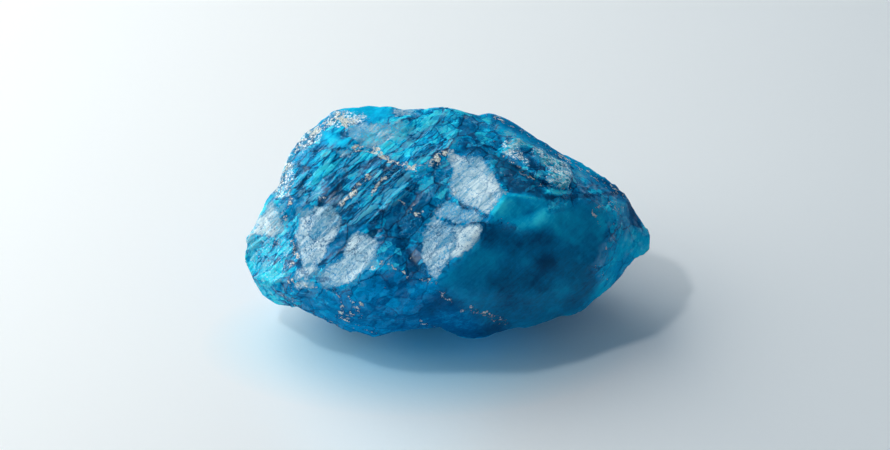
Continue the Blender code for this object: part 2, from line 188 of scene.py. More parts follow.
def normalsOf(points, tris):
    # sum of the faces' normals weighted by area, made unit length
    a, b, c = (points[tris[:, i]] for i in range(3))
    n = np.cross(b - a, c - a)
    total = np.stack([sum(np.bincount(tris[:, i], n[:, x], len(points)) for i in range(3))
                      for x in range(3)], 1)
    return total / np.maximum(np.linalg.norm(total, axis=1), 1e-12)[:, None]


def neighbourMean(values, edges, weights, size):
    # weighted mean over the points joined by an edge
    i, j = edges[:, 0], edges[:, 1]
    total = np.bincount(i, weights, size) + np.bincount(j, weights, size)
    out = np.empty((size, values.shape[1]))
    for x in range(values.shape[1]):
        out[:, x] = np.bincount(i, weights * values[j, x], size)
        out[:, x] += np.bincount(j, weights * values[i, x], size)
    return out / np.maximum(total, 1e-9)[:, None]


def soften(points, tris, edges, rounds, keep):
    # each point goes halfway to its neighbours' mean; a neighbour that faces another way counts less
    for _ in range(rounds):
        n = normalsOf(points, tris)
        apart = ((n[edges[:, 0]] - n[edges[:, 1]]) ** 2).sum(1)
        weights = np.exp(-apart / (2 * keep * keep)) + 0.02
        points = 0.5 * points + 0.5 * neighbourMean(points, edges, weights, len(points))
    return points


def stoneSurface():
    # the solid's faces split into a fine lattice and softened a little, in mm
    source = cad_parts["apatite_crystal"].data
    co = np.zeros(len(source.vertices) * 3, np.float32)
    source.vertices.foreach_get("co", co)
    source.calc_loop_triangles()
    tri = np.zeros(len(source.loop_triangles) * 3, np.int32)
    source.loop_triangles.foreach_get("vertices", tri)
    corners, faces = weld(co.reshape(-1, 3).astype(float) * 1000.0, tri.reshape(-1, 3))
    points, tris = latticeMesh(corners, faces, stone["lattice"])
    edges = edgesOf(tris)
    print("stone lattice:", len(points), "points,", len(tris), "triangles")
    rest = points[:, 2] < 0.02
    points = soften(points, tris, edges, stone["softenRounds"], stone["ridgeKeep"])
    points[rest, 2] = 0.0
    return points, tris, edges, rest


def ridgeMask(points, tris, edges, rounds):
    # how far a point stands out beyond the mean of its surroundings, in mm, along its normal
    even = np.ones(len(edges))
    mean = points
    for _ in range(rounds):
        mean = 0.5 * mean + 0.5 * neighbourMean(mean, edges, even, len(points))
    return ((points - mean) * normalsOf(points, tris)).sum(1)


def inside(sketch, corners, soft):
    # 1 inside a polygon of the leaning plane, 0 outside, over a soft edge: the signed distance to its sides
    corners = np.array(corners, float)
    far = np.full(len(sketch), 1e9)
    odd = np.zeros(len(sketch), bool)
    for p, q in zip(corners, np.roll(corners, -1, axis=0)):
        far = np.minimum(far, lineGap(sketch, p, q))
        x, y = sketch[:, 0], sketch[:, 1]
        crosses = (p[1] > y) != (q[1] > y)
        with np.errstate(divide="ignore", invalid="ignore"):
            odd ^= crosses & (x < (q[0] - p[0]) * (y - p[1]) / (q[1] - p[1]) + p[0])
    return smooth(-soft, soft, np.where(odd, far, -far))


def lineGap(sketch, p, q):
    # distance on the leaning plane from each point to the stretch from p to q
    p, q = np.array(p, float), np.array(q, float)
    d = q - p
    t = np.clip(((sketch[:, :2] - p) @ d) / max(d @ d, 1e-9), 0.0, 1.0)
    return np.linalg.norm(sketch[:, :2] - p - t[:, None] * d, axis=1)


def along(sketch, points, width):
    # 1 on a line through the points, fading to 0 at the given width
    gaps = [lineGap(sketch, p, q) for p, q in zip(points, points[1:])]
    return 1.0 - smooth(0.25 * width, width, np.minimum.reduce(gaps))


# places on the front, in mm on the leaning plane: across, up
places = {
    "crestUpper": [(0.36, 7.5), (1.21, 7.1), (2.36, 6.8), (3.64, 6.64), (4.21, 6.07), (4.43, 5.5),
     (4.93, 4.64), (5.5, 3.79), (6.07, 3.21), (5.64, 2.64), (4.93, 2.07), (4.36, 1.07), (3.21, 1.36),
     (1.36, 2.07), (0.64, 2.93), (0.36, 4.21), (0.5, 5.5), (0.2, 6.4)],
    "crestBright": [(1.64, 4.93), (2.36, 5.93), (3.64, 5.64), (4.36, 4.93), (5.5, 3.64), (5.21, 2.93),
     (4.36, 2.64), (3.79, 2.07), (2.79, 2.21), (1.21, 3.5)],
    "crestTip": [(3.3, 1.4), (4.3, 1.2), (5.0, 2.1), (5.7, 2.7), (6.1, 3.2), (4.9, 2.9), (3.9, 2.2)],
    "crestBelt": [(0.0, 2.4), (1.2, 2.1), (3.3, 1.3), (4.3, 1.0), (3.4, 0.1), (1.2, 0.1), (-0.3, 0.6),
     (-1.4, 1.2)],
    "crestLower": [(-0.1, 0.3), (1.2, 0.1), (2.6, -0.4), (0.9, -1.7), (0.6, -3.3), (0.0, -4.2), (-0.8, -5.4),
     (-1.6, -4.6), (-2.3, -3.0), (-2.1, -0.4), (-1.3, 1.1)],
    "crestShard": [(1.0, -0.1), (3.5, 0.1), (3.7, -0.6), (3.1, -1.9), (1.5, -3.2), (0.5, -3.4), (0.8, -1.6)],
    "cheek": [(-14.6, 1.6), (-13.4, 1.8), (-11.9, 2.0), (-10.6, 1.4), (-10.1, 0.3), (-10.7, -1.2),
     (-11.6, -2.5), (-12.2, -3.4), (-14.1, -4.1), (-14.8, -2.6), (-14.7, -0.4)],
    "cheekFoot": [(-14.4, -4.2), (-12.9, -3.6), (-12.2, -4.4), (-13.4, -5.4), (-14.9, -5.4)],
    "knee": [(-9.7, -1.6), (-8.7, -0.7), (-7.4, -1.0), (-6.6, -2.0), (-6.8, -3.7), (-8.2, -4.7),
     (-9.8, -5.9), (-11.9, -6.1), (-12.7, -5.2), (-11.5, -3.9), (-10.0, -3.1)],
    "jaw": [(-14.6, -5.4), (-12.9, -5.5), (-12.7, -6.5), (-14.8, -6.3)],
    "crownPlate": [(-9.5, 9.8), (-8.6, 10.2), (-6.6, 10.3), (-5.8, 10.1), (-3.9, 10.4), (-4.4, 9.4),
     (-5.4, 8.4), (-6.4, 7.8), (-7.2, 7.2), (-8.6, 7.8), (-9.6, 8.8)],
    "strakeCap": [(-10.9, 7.4), (-9.6, 7.7), (-8.8, 7.2), (-9.5, 6.6), (-10.6, 6.6)],
    "leftFace": [(-20.6, -3.0), (-19.0, 0.6), (-17.0, 3.2), (-15.6, 1.7), (-15.2, -0.6), (-14.7, -2.4),
     (-15.6, -5.6), (-18.0, -6.0), (-20.4, -4.4)],
    "leftShine": [(-20.2, -1.9), (-18.6, 0.5), (-17.1, 2.5), (-16.2, 1.3), (-15.9, -0.6), (-17.2, -1.4),
     (-18.8, -0.9)],
    "leftChip": [(-19.4, -5.6), (-17.7, -6.2), (-16.0, -7.1), (-16.4, -8.6), (-19.0, -7.4)],
    "plateWest": [(5.8, 7.8), (6.0, 8.5), (6.6, 8.7), (7.3, 8.4), (7.6, 7.8), (7.3, 7.4), (6.6, 7.2),
     (6.1, 7.4)],
    "plateSliver": [(5.5, 7.6), (6.2, 7.4), (7.5, 7.1), (8.1, 6.4), (8.1, 5.7), (7.2, 6.4), (6.2, 7.0)],
    "plateMid": [(8.6, 7.2), (8.8, 7.7), (9.5, 7.6), (10.4, 6.9), (10.8, 6.5), (10.5, 5.9), (10.1, 5.6),
     (9.4, 6.2), (8.8, 6.6)],
    "plateEast": [(10.8, 6.2), (11.5, 6.3), (12.1, 5.7), (12.5, 5.1), (12.4, 4.5), (11.9, 3.9), (11.4, 3.7),
     (10.4, 4.2), (10.1, 4.8), (10.4, 5.5)],
    "plateStep": [(9.5, 3.6), (10.4, 3.7), (11.6, 3.8), (11.6, 3.2), (11.2, 2.8), (10.4, 3.1), (9.5, 3.4)],
    "pocket": [(8.2, 6.5), (9.4, 5.8), (10.2, 4.9), (10.1, 4.4), (8.6, 5.1), (8.1, 5.6)],
    "bench": [(4.5, 7.2), (6.2, 6.6), (8.1, 4.9), (9.4, 3.5), (11.4, 2.9), (13.6, 2.9), (10.6, 2.2),
     (6.4, 3.4), (5.0, 5.2)],
    "notchDark": [(1.3, 7.9), (2.2, 8.3), (3.5, 8.0), (3.3, 7.3), (2.3, 7.2), (1.6, 7.5)],
    "scoopGlintW": [(5.0, 1.5), (5.4, 2.3), (6.2, 2.2), (6.0, 1.6), (5.4, 1.2)],
    "scoopGlintE": [(8.6, 0.2), (9.3, 1.0), (10.1, 1.8), (10.0, 0.9), (9.2, 0.0)],
    "endShard": [(14.2, 1.9), (16.9, 2.4), (17.2, 1.0), (15.6, -0.6), (15.0, 0.3)],
    # painted shadow under the scoop's lip
    "scoopShadow": [(3.2, 0.4), (5.0, 0.0), (7.6, -0.9), (9.6, -0.5), (10.6, -1.8), (7.0, -2.8), (3.4, -1.8)],
    "scoop": [(4.5, 1.3), (5.2, 2.4), (5.8, 3.2), (8.1, 3.2), (10.4, 2.4), (9.5, 0.6), (8.6, -0.1),
     (7.6, -0.4), (5.9, 0.2), (4.6, 0.5)],
    "topEdge": [(-10.9, 11.5), (-9.9, 12.6), (-6.4, 12.6), (-5.4, 11.6), (-5.2, 10.8), (-6.1, 10.4),
     (-7.5, 10.4), (-9.1, 10.4), (-10.6, 10.6)],
    "topHaze": [(-5.2, 11.5), (-4.4, 12.2), (-1.5, 12.2), (-2.9, 11.2), (-4.1, 10.8), (-5.1, 10.6)],
    "glow": [(-11.9, 8.9), (-10.9, 9.2), (-10.1, 8.6), (-10.2, 7.9), (-11.1, 8.1), (-11.8, 8.2)],
    "shelf": [(-14.4, 4.3), (-13.5, 3.6), (-12.2, 2.2), (-14.1, 2.2)],
    "rim": [(3.1, 11.4), (4.8, 12.0), (6.9, 11.0), (9.8, 9.0), (11.8, 7.9), (13.8, 7.2), (16.6, 5.2),
     (18.7, 3.2), (17.9, 2.5), (16.4, 3.6), (13.8, 5.0), (12.4, 5.9), (11.0, 6.9), (8.4, 8.2), (6.6, 9.3),
     (4.9, 10.2)],
    "rightEnd": [(17.3, -1.0), (21.0, -0.6), (21.0, -2.6), (19.1, -4.4), (16.4, -6.6), (14.2, -8.4),
     (15.4, -5.0)],
    "darkFace": [(3.8, -0.2), (5.2, 0.1), (7.6, -0.6), (10.4, 1.4), (13.6, 2.5), (15.6, 2.0), (16.3, 0.0),
     (15.4, -3.2), (14.6, -4.4), (15.3, -6.6), (13.0, -9.4), (9.0, -10.8), (4.5, -11.2), (3.0, -9.0),
     (0.6, -7.2), (-0.8, -5.6), (0.2, -4.1), (1.5, -3.3), (3.2, -1.9)],
    "belly": [(-1.2, -6.2), (1.0, -7.4), (3.2, -9.2), (5.6, -9.8), (9.0, -10.4), (4.4, -11.8), (0.5, -11.4),
     (-1.2, -10.2), (-2.2, -8.3)],
    "deepHeart": [(6.0, -2.6), (10.0, -2.4), (13.0, -4.2), (12.6, -7.2), (9.0, -9.4), (4.6, -9.4),
     (4.6, -5.6)],
    "faceLight": [(9.6, 0.4), (13.6, 2.4), (15.6, 1.6), (15.8, -2.6), (14.4, -4.0), (12.4, -2.2)],
    "smudge": [(8.9, -3.2), (10.4, -3.0), (10.9, -3.8), (9.8, -4.4), (9.2, -3.9)],
    "lobe": [(-15.0, -7.0), (-12.4, -6.5), (-9.5, -6.4), (-7.1, -5.3), (-5.0, -4.2), (-2.4, -5.3),
     (-1.2, -5.9), (-2.4, -8.3), (-1.2, -10.0), (-4.1, -11.2), (-7.4, -11.6), (-11.8, -9.9)],
    "capFrost": [(-12.2, 10.4), (-11.2, 11.3), (-8.4, 11.2), (-7.6, 10.6), (-9.0, 10.0), (-10.5, 9.6)],
    "shoulderFrost": [(-14.6, 9.3), (-13.4, 10.2), (-12.3, 9.6), (-12.6, 8.3), (-14.0, 7.4), (-15.0, 7.8)],
    "flankFrost": [(-15.8, 7.4), (-14.9, 7.0), (-14.9, 4.4), (-15.4, 2.6), (-17.2, 3.0), (-16.6, 5.2)],
    "rightRidge": [(15.2, 5.6), (18.4, 3.6), (20.2, 0.8), (19.0, -0.2), (17.6, 0.6), (17.2, 2.4),
     (14.8, 4.2)],
    "hollow": [(-7.0, 3.6), (-2.6, 4.4), (-0.2, 5.4), (0.0, 2.8), (-1.8, 1.2), (-2.6, -1.2), (-4.4, -3.0),
     (-6.4, -0.6), (-8.4, 0.6)],
    "strakeSlope": [(-15.0, 5.6), (-12.0, 8.0), (-8.8, 7.8), (-4.6, 6.0), (-2.4, 4.4), (-5.4, 1.2),
     (-8.8, -0.4), (-13.2, 2.0), (-15.4, 3.4)],
    "crown": [(-9.0, 8.4), (-5.0, 11.0), (1.6, 11.2), (1.0, 8.0), (-2.2, 6.0), (-6.2, 6.8)],
}
crustLines = [
    # points, width in mm, how thickly it is crusted
    ([(-14.4, 8.8), (-13.5, 9.1), (-11.8, 10.3), (-10.6, 11.0), (-9.7, 10.0), (-8.8, 10.6)], 0.9, 0.9),
    ([(-14.5, 8.5), (-15.6, 6.4), (-16.2, 4.7), (-16.7, 3.5)], 0.7, 0.8),
    ([(-15.6, 3.8), (-15.2, 2.3), (-15.9, 0.3), (-15.2, -1.2), (-14.7, -3.0), (-15.6, -4.7), (-15.2, -5.9),
      (-14.9, -7.7)], 0.5, 0.75),
    ([(-8.9, 7.6), (-6.8, 7.2), (-5.3, 6.4), (-3.9, 5.9), (-2.4, 5.7), (-0.9, 6.3), (0.1, 7.2)], 0.7, 0.95),
    ([(0.3, 7.6), (0.4, 4.7), (0.9, 3.2), (3.8, 1.4), (6.7, 0.0)], 0.4, 0.6),
    ([(-2.7, 3.5), (-3.3, 1.1), (-2.7, 0.9)], 0.6, 0.7),
    ([(-8.6, 3.8), (-8.9, 2.9), (-10.0, 2.6), (-12.7, 2.9)], 0.5, 0.7),
    ([(16.4, 3.2), (17.9, 2.9), (17.0, 0.3), (15.9, -3.0), (15.0, -4.1), (16.1, -5.3)], 0.45, 0.6),
    ([(14.4, 1.7), (17.0, 1.7), (14.7, 1.2)], 0.5, 0.6),
    ([(-9.7, -6.5), (-8.3, -8.9), (-10.6, -9.1), (-7.1, -10.6)], 0.8, 0.65),
    ([(-6.2, -6.2), (-5.3, -4.1), (-3.0, -3.2)], 0.5, 0.55),
    ([(-0.3, -6.8), (1.1, -7.7), (1.7, -8.3)], 0.6, 0.8),
    ([(2.3, -8.3), (3.8, -8.6), (6.1, -9.7), (5.0, -9.1)], 0.7, 0.8),
    ([(-1.5, -10.0), (-0.6, -10.0)], 0.5, 0.7),
    ([(-16.2, -6.8), (-13.9, -8.6), (-11.8, -9.4), (-9.7, -10.9)], 0.5, 0.7),
    ([(4.7, 8.2), (5.6, 7.3), (7.6, 5.0), (9.1, 4.1), (12.3, 3.5)], 0.45, 0.7),
    ([(-1.5, -5.3), (-0.9, -5.6)], 0.5, 0.9),
    ([(-10.6, -6.6), (-9.9, -7.9), (-10.3, -8.9), (-9.6, -9.5)], 0.5, 0.9),
    ([(-8.9, -6.7), (-8.2, -8.0)], 0.35, 0.8),
    ([(-14.9, -5.4), (-13.3, -6.2), (-11.8, -6.3)], 0.4, 0.8),
    ([(-7.3, -4.3), (-6.2, -3.5), (-5.0, -4.0), (-3.4, -5.2), (-1.5, -5.6)], 0.4, 0.85),
    ([(-1.3, -9.8), (-0.3, -10.2), (-2.2, -9.5)], 0.4, 0.8),
    ([(14.1, 1.8), (15.2, 0.6), (15.0, -0.4), (16.3, 0.6), (17.0, 2.4), (16.0, 1.9),
      (14.3, 1.6)], 0.3, 0.8),
    ([(-4.6, 2.6), (-3.5, 1.6), (-2.9, 0.9), (-2.2, 1.4)], 0.35, 0.85),
    ([(-7.6, 4.9), (-8.4, 4.0), (-9.2, 3.0), (-10.2, 1.9)], 0.55, 1.0),
    ([(-6.0, 4.6), (-6.8, 3.8), (-7.2, 3.2)], 0.5, 1.0),
    ([(4.3, 11.3), (6.4, 10.2), (9.4, 8.4), (12.4, 6.4), (15.6, 4.4), (18.2, 2.8)], 0.5, 0.75),
]
creaseLines = [
    # points, how strongly the crack shows
    # the first is not a crack: a painted shadow line under the scoop's lip
    ([(4.6, 1.0), (5.4, 0.2), (7.0, -0.4), (9.0, -0.2), (10.2, 0.8)], 0.8),
    ([(1.1, 2.0), (2.4, 1.7), (3.5, 1.0), (4.6, 0.9)], 1.0),
    ([(-2.6, -0.3), (-0.4, -0.1), (1.0, 0.2), (2.9, 0.1)], 0.9),
    ([(0.5, -0.3), (0.3, -1.8), (0.6, -3.2)], 0.8),
    ([(-15.0, 0.7), (-14.1, 0.1), (-13.4, 0.4), (-12.8, 1.2)], 0.9),
    ([(-14.9, -1.0), (-14.6, -2.8), (-14.2, -4.6), (-12.9, -5.2), (-11.2, -5.4)], 1.0),
    ([(-9.7, -2.6), (-8.5, -2.7), (-7.6, -3.5)], 0.9),
    ([(-11.6, -4.0), (-10.0, -3.8), (-8.8, -4.6)], 0.9),
    ([(17.6, 1.7), (16.7, -1.2), (15.0, -4.1), (14.1, -7.1)], 0.8),
    ([(10.6, 2.9), (13.6, 2.8), (17.2, 3.1)], 1.0),
    ([(-10.6, -0.4), (-8.4, 1.0), (-7.0, 0.4), (-5.4, -1.8)], 0.9),
    ([(-1.0, 5.2), (-0.4, 2.8), (-1.8, 0.8)], 0.9),
]


# how the places are finished
finish = {
    "rubbed": ("darkFace", "lobe", "belly", "rightEnd"),
    "softBordered": ("belly", "faceLight", "scoopGlintW", "scoopGlintE", "glow", "smudge", "deepHeart",
        "rightEnd", "hollow", "lobe", "darkFace", "rightRidge", "scoopShadow"),
    # pale places: painted sheen, pale paint where satin faces throw the lamps' light back
    "pale": {"crestUpper": 0.85, "crestBright": 1.0, "crestTip": 0.9, "crestBelt": 0.62,
        "crestLower": 0.68, "crestShard": 1.0, "cheek": 0.8, "cheekFoot": 0.9, "knee": 0.85, "jaw": 0.8,
        "crownPlate": 0.66, "strakeCap": 0.6, "leftShine": 1.0, "topHaze": 0.7},
    "plates": {"plateWest": 1.0, "plateMid": 1.0, "plateEast": 1.0, "plateSliver": 0.8},
    "streaked": {"strakeSlope": 1.0, "crown": 0.8, "leftFace": 0.95},
    "calm": {"darkFace": 1.0, "scoop": 1.0, "lobe": 0.7, "rim": 1.0, "bench": 0.4, "rightEnd": 0.6,
        "topEdge": 1.0, "glow": 1.0, "belly": 0.9, "rightRidge": 0.8, "leftFace": 0.3},
    "frosted": {"bench": 0.15, "leftFace": 0.3, "capFrost": 0.95, "shoulderFrost": 0.95,
        "flankFrost": 0.8},
    # painted light let through thin parts: leftFace, leftChip, topEdge, glow, rightEnd, scoop, faceLight;
    # painted highlights: scoopGlintW, scoopGlintE; painted shade: scoopShadow under the scoop's lip, belly
    # low on the stone
    "tone": {"leftFace": 0.42, "leftChip": 0.34, "topEdge": 0.16, "glow": 0.55, "rightEnd": 0.26,
        "scoop": 0.15, "scoopShadow": -0.22, "plateStep": 0.6, "plateWest": 0.3, "plateMid": 0.3,
        "plateEast": 0.3, "crown": 0.22, "darkFace": 0.07, "deepHeart": -0.08, "belly": -0.26,
        "smudge": -0.4, "faceLight": 0.13, "bench": -0.10, "lobe": -0.07, "crownPlate": 0.1,
        "hollow": -0.05, "strakeSlope": 0.05, "pocket": -0.3, "shelf": -0.2, "rightRidge": -0.12,
        "notchDark": -0.35, "scoopGlintW": 0.5, "scoopGlintE": 0.42, "endShard": 0.12},
    "clearBase": 0.34,
    "clearMore": {"darkFace": 1.0, "bench": 1.0},
    "clearLess": {"lobe": 1.0, "rim": 1.0, "rightEnd": 1.0, "belly": 1.0},
    "clearLoss": 0.2,
}

def gather(at, shares):
    # sum of the places' marks times their shares
    return sum(share * at[name] for name, share in shares.items())


def rubSmooth(points, edges, sketch, front, rest):
    # the smooth faces curve: each point goes part of the way to its neighbours' mean, and their borders stay
    soft = stone["softBorder"]
    curved = np.maximum.reduce([inside(sketch, places[name], soft) for name in finish["rubbed"]]) * front
    even = np.ones(len(edges))
    for _ in range(stone["rubRounds"]):
        mean = neighbourMean(points, edges, even, len(points))
        points = points + stone["rubShare"] * (curved * ~rest)[:, None] * (mean - points)
    return points


def placeMarks(points, sketch, front):
    # borders run along small cells, so they turn in corners rather than curves
    stray = 0.25 * np.stack([valueNoise(points / 1.7, seed) for seed in (3, 4, 5)], 1)
    jag = brokenCells(points / stone["cornerSize"] + stray, 23)[1][:, :3] - 0.5
    swing = np.stack([valueNoise(points / stone["swingSize"], seed) for seed in (11, 12, 13)], 1)
    wobble = swing * stone["swing"] + stone["corner"] * jag
    at = {}
    for name, corners in places.items():
        at[name] = inside(sketch + wobble, corners, stone["sharpBorder"]) * front
    for name in finish["softBordered"]:
        at[name] = inside(sketch + 0.5 * wobble, places[name], stone["softBorder"]) * front
    return at, stray, jag, wobble


def stoneLift(points, sketch, at, stray, back, plates, streaked, calm):
    # small broken faces: every cell of the stone tilts its own way
    offset, draw = brokenCells(points / stone["facetWide"] + stray, 21)
    lift = stone["facetWideLift"] * (offset * (draw[:, :3] - 0.5)).sum(1)
    lift *= (1 - 0.75 * calm) * (1 - 0.5 * streaked)
    offset, draw = brokenCells(points / stone["facetFine"] + stray, 22)
    lift += stone["facetFineLift"] * (offset * (draw[:, :3] - 0.5)).sum(1) * (1 - 0.85 * calm)

    # striations: steps that climb slowly and drop sharply, broken off along their length
    c, s = stone["growth"]
    across, up, out = sketch.T
    grow = np.stack([c * across + s * up, -s * across + c * up, out], 1)
    bend = 0.5 * valueNoise(points / 3.1, 31) + 0.12 * valueNoise(points / 0.9, 32)
    for size, share in ((1.0, 1.0), (0.57, 0.6)):
        phase = (grow[:, 1] + bend * size) / (stone["strakeSpacing"] * size)
        climb = phase % 1.0
        drop = stone["strakeDrop"]
        saw = np.where(climb < drop, climb / drop, (1.0 - climb) / (1.0 - drop)) - 0.5
        stretches = np.stack([grow[:, 0] / 2.6, np.floor(phase), np.zeros(len(phase))], 1)
        strength = np.clip(0.5 + 1.1 * valueNoise(stretches, 33), 0, 1.4)
        lift += stone["strakeLift"] * share * saw * strength * streaked

    # ripples of a shell-like break on the crown and on the hidden sides: a sine of the distance from a point
    far = np.linalg.norm(points - np.array(stone["rippleFrom"]), axis=1) + 0.8 * valueNoise(points / 3.0, 41)
    ripple = np.sin(2 * math.pi * far / stone["rippleSpacing"]) * (0.5 + 0.5 * valueNoise(points / 4.0, 42))
    lift += stone["rippleLift"] * ripple * np.clip(0.6 * at["crown"] + 0.6 * back, 0, 1)

    # frosted plates: thin raised flakes of crushed grain
    crushed = rough(points / stone["plateGrain"], 51, 2) * np.clip(plates + 0.5 * at["bench"], 0, 1)
    lift += stone["plateLift"] * plates + stone["plateGrainLift"] * crushed

    # grain everywhere, least on the smooth faces
    lift += stone["grainLift"] * rough(points / stone["grainSize"], 61, 2) * (1 - 0.7 * calm)
    return lift, grow


def dressStone():
    points, tris, edges, rest = stoneSurface()
    axes = sketchAxes()
    sketch = (points - np.array(layout["centre"])) @ axes.T
    front = smooth(-0.05, 0.2, (normalsOf(points, tris) @ axes.T)[:, 2])
    back = 1.0 - front
    points = rubSmooth(points, edges, sketch, front, rest)
    normals = normalsOf(points, tris)
    ridge = ridgeMask(points, tris, edges, stone["ridgeRounds"])
    at, stray, jag, wobble = placeMarks(points, sketch, front)
    # painted sheen: how pale each point is painted for light thrown back
    sheen = np.maximum.reduce([share * at[name] for name, share in finish["pale"].items()])
    plates = np.clip(gather(at, finish["plates"]), 0, 1)
    streaked = np.clip(gather(at, finish["streaked"]), 0, 1)
    # hidden faces: cells of place and facing together, so each large face is one kind of break
    lot = brokenCells(points / stone["faceWide"] + 1.1 * normals + 0.09 * jag, 91)[1]
    smoothBreak = back * (lot[:, 0] < stone["smoothLots"])
    paleBreak = back * ((lot[:, 0] >= stone["smoothLots"]) & (lot[:, 0] < stone["paleLots"]))
    streakBreak = back * ((lot[:, 0] >= stone["paleLots"]) & (lot[:, 0] < stone["streakLots"]))
    sheen = np.maximum(sheen, stone["paleSheen"] * paleBreak)
    streaked = np.maximum(streaked, 0.9 * streakBreak)
    calm = gather(at, finish["calm"]) + 0.7 * (sheen > 0.5) + 0.9 * smoothBreak + 0.35 * back
    calm = np.clip(calm, 0, 1)

    lift, grow = stoneLift(points, sketch, at, stray, back, plates, streaked, calm)
    lift[rest] = np.minimum(lift[rest], 0.0) * 0.2
    points = points + normals * lift[:, None]
    points[:, 2] = np.maximum(points[:, 2], 0.0)
    # fine edges get a painted highlight and fine hollows painted shade
    edge = ridgeMask(points, tris, edges, stone["edgeRounds"])

    # crust: along the lines above on the front, and on any sharp ridge elsewhere
    sparse = 0.5 + 0.5 * valueNoise(points / 2.6, 72)
    crust = smooth(0.08, 0.22, ridge) * sparse * (0.04 + 0.6 * back)
    for line, width, thick in crustLines:
        crust = np.maximum(crust, along(sketch + 0.8 * wobble, line, width) * thick * front)
    crease = np.zeros(len(points))
    for line, strength in creaseLines:
        here = along(sketch + 0.7 * wobble, line, stone["creaseReach"]) * strength * front
        crease = np.maximum(crease, here)
    frost = np.clip(plates + gather(at, finish["frosted"]) + 0.1 * smooth(0.05, 0.16, ridge), 0, 1)
    # frost on fine edges: partly crushed grain, partly a painted highlight
    frost += smooth(0.015, 0.045, edge) * (0.5 - 0.35 * calm) * (0.55 + 0.45 * back)
    tone = stone["tone"] + stone["toneDrift"] * rough(points / 3.4, 81, 2) + gather(at, finish["tone"])
    tone += back * (0.22 * (lot[:, 1] - 0.5) - 0.04 * (lot[:, 0] < stone["smoothLots"]))
    # painted highlight on ridges and fine edges, painted shade in fine hollows
    tone += 0.9 * np.clip(ridge, -0.12, 0.2) + 2.6 * np.clip(edge, -0.06, 0.05) * (1 - 0.5 * calm)
    clear = np.clip(gather(at, finish["clearMore"]), 0, 1) * (1 - 0.9 * at["scoop"])
    clear = finish["clearBase"] + (1 - finish["clearBase"]) * clear
    clear -= finish["clearLoss"] * np.clip(gather(at, finish["clearLess"]), 0, 1)
    marks = {"clear": clear, "crust": crust, "frost": np.clip(frost, 0, 1), "sheen": sheen,
             "tone": np.clip(tone, 0, 1), "streaked": streaked, "broken": 1 - calm, "crease": crease}
    return points / 1000.0, tris, marks, grow


def makeStone():
    # the dressed points and triangles as one smooth mesh, with a mark per point for the material
    points, tris, marks, grow = dressStone()
    mesh = bpy.data.meshes.new("apatiteStone")
    mesh.vertices.add(len(points))
    mesh.vertices.foreach_set("co", points.astype(np.float32).reshape(-1))
    mesh.loops.add(len(tris) * 3)
    mesh.loops.foreach_set("vertex_index", tris.astype(np.int32).reshape(-1))
    mesh.polygons.add(len(tris))
    mesh.polygons.foreach_set("loop_start", np.arange(0, len(tris) * 3, 3, dtype=np.int32))
    mesh.update(calc_edges=True)
    mesh.validate()
    for name, values in marks.items():
        mark = mesh.attributes.new(name, "FLOAT", "POINT")
        mark.data.foreach_set("value", values.astype(np.float32))
    growth = mesh.attributes.new("growth", "FLOAT_VECTOR", "POINT")
    growth.data.foreach_set("vector", grow.astype(np.float32).reshape(-1))
    mesh.polygons.foreach_set("use_smooth", np.ones(len(mesh.polygons), dtype=bool))
    piece = bpy.data.objects.new("apatiteStone", mesh)
    bpy.context.scene.collection.objects.link(piece)
    return piece


# apatite, rough-broken: deep blue and see-through inside, between satin and glassy outside
apatite = {
    # tones from the thickest stone to the thinnest edge; the lightest are painted light let through thin
    # edges
    "tones": ((0.0, "#004068"), (0.28, "#00649A"), (0.5, "#0098D2"), (0.72, "#08C0EC"), (1.0, "#3CE4FC")),
    # sheen and sheenBright: the colours of the painted reflection on the pale faces
    "sheen": "#62A2C0", "sheenBright": "#E0F4FA", "frosted": "#F2FFFF", "frostDark": "#348CB0",
    "crust": "#F6FAF6", "crustDark": "#A6AC9C",
    "ior": 1.63, "clear": 0.52, "clearThin": 0.15, "gloss": (0.08, 0.62, 0.9, 1.0), "glossLevel": 0.0,
    "absorbColor": (0.0, 0.95, 0.97, 1.0), "absorbDensity": 700.0,  # per metre
    "scatter": 0.4, "scatterReach": 0.0007, "scatterTint": (0.05, 0.8, 1.0),
    "flakeTilt": 0.8, "glintTilt": 1.3,
    "roughClear": 0.26, "roughCalm": 0.5, "roughSkin": 0.38, "roughCrust": 0.85,
    "coatRough": 0.13, "coatIor": 1.75,
}
# a row's word for a node: the node, the setting that goes with the word, the inputs a tuple of settings fills
nodeKinds = {
    "mark": ("Attribute", {}, ()),
    "coordinates": ("TexCoord", {}, ()),
    "surface": ("NewGeometry", {}, ()),
    "noise": ("TexNoise", {}, ("Scale", "Detail", "Roughness", "Distortion")),
    "cells": ("TexVoronoi", {}, ()),
    "cellEdge": ("TexVoronoi", {"feature": "DISTANCE_TO_EDGE"}, ()),
    "stretch": ("Mapping", {}, ()),
    "range": ("MapRange", {}, (1, 2, 3, 4)),  # the two values read from, the two they become
    "split": ("SeparateColor", {}, ()),
    "ramp": ("ValToRGB", {}, ()),
    "bump": ("Bump", {}, ()),
    "blend": ("Mix", {}, ()),
    "blendVector": ("Mix", {"data_type": "VECTOR"}, ()),
    "blendColor": ("Mix", {"data_type": "RGBA"}, ()),
    "principled": ("BsdfPrincipled", {}, ()),
    "absorption": ("VolumeAbsorption", {}, ()),
    "output": ("OutputMaterial", {}, ()),
}
for word, operation in (("add", "ADD"), ("subtract", "SUBTRACT"), ("multiply", "MULTIPLY"),
                        ("multiplyAdd", "MULTIPLY_ADD"), ("absolute", "ABSOLUTE"), ("larger", "MAXIMUM")):
    nodeKinds[word] = ("Math", {"operation": operation}, (1, 2))
for word, operation in (("vectorAdd", "ADD"), ("vectorSubtract", "SUBTRACT"), ("vectorScale", "SCALE"),
                        ("vectorUnit", "NORMALIZE")):
    nodeKinds[word] = ("VectorMath", {"operation": operation}, ())


